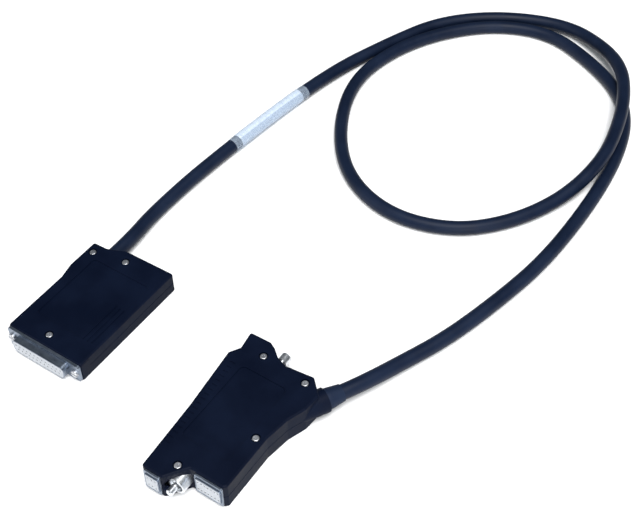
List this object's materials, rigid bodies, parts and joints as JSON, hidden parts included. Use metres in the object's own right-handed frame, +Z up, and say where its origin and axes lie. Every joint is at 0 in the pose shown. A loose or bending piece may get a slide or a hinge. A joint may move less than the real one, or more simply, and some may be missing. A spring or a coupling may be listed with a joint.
{
  "type": "multicore control cable",
  "caption": "round multicore cable lying in a loop between two flat moulded plugs, one with a D-shaped socket, one stepped with a captive jackscrew",
  "frame": {"origin": "on the long plug's resting face, under the jackscrew's axis, level with the front wall of the hood's right-hand half", "axes": "+Z up from the surface the cable lies on; -Y the way both plugs mate; +X to the right as the plugs are seen from behind"},
  "size_m": [0.2375, 0.4837, 0.019],
  "materials": {
    "hood_polymer": "fine moulded texture",
    "sheath_polymer": "smooth, slightly satin",
    "boot_rubber": "satin",
    "nickel_plate": "bright plated",
    "screw_steel": "satin",
    "guide_metal": "turned and plated",
    "insert_brass": "turned",
    "contact_gilt": "plated",
    "insulator_polymer": "moulded",
    "core_polymer": "extruded",
    "label_film": "printed film",
    "sleeve_polymer": "clear"
  },
  "bodies": {
    "root": {"short_hood_upper": "hood_polymer", "short_hood_lower": "hood_polymer", "short_hood_screws": "screw_steel", "short_hood_inserts": "insert_brass", "socket_front_shell": "nickel_plate", "socket_rear_shell": "nickel_plate", "socket_insulator": "insulator_polymer", "socket_contacts": "contact_gilt", "flange_screws": "screw_steel", "flange_inserts": "insert_brass", "short_cable_clip": "nickel_plate", "short_clip_screw": "screw_steel", "short_sheath_end": "sheath_polymer", "short_cores": "core_polymer", "long_hood_upper": "hood_polymer", "long_hood_lower": "hood_polymer", "long_hood_screws": "screw_steel", "long_hood_inserts": "insert_brass", "left_bank_shell": "nickel_plate", "right_bank_shell": "nickel_plate", "left_bank_insulator": "insulator_polymer", "right_bank_insulator": "insulator_polymer", "left_bank_contacts": "contact_gilt", "right_bank_contacts": "contact_gilt", "jackscrew_guide": "guide_metal", "guide_screw": "screw_steel", "long_cable_clip": "nickel_plate", "long_clip_screw": "screw_steel", "long_sheath_end": "sheath_polymer", "long_cores": "core_polymer", "cable_boot": "boot_rubber", "cable_sheath": "sheath_polymer", "cable_label": "label_film", "label_sleeve": "sleeve_polymer"},
    "jackscrew": {"jackscrew": "guide_metal", "jackscrew_ring": "screw_steel"}
  },
  "joints": [
    {"name": "jackscrew_turn", "type": "hinge", "parent": "root", "child": "jackscrew", "pos_m": [0, 0, 0.0095], "axis": [0, 1, 0], "continuous": true}
  ]
}
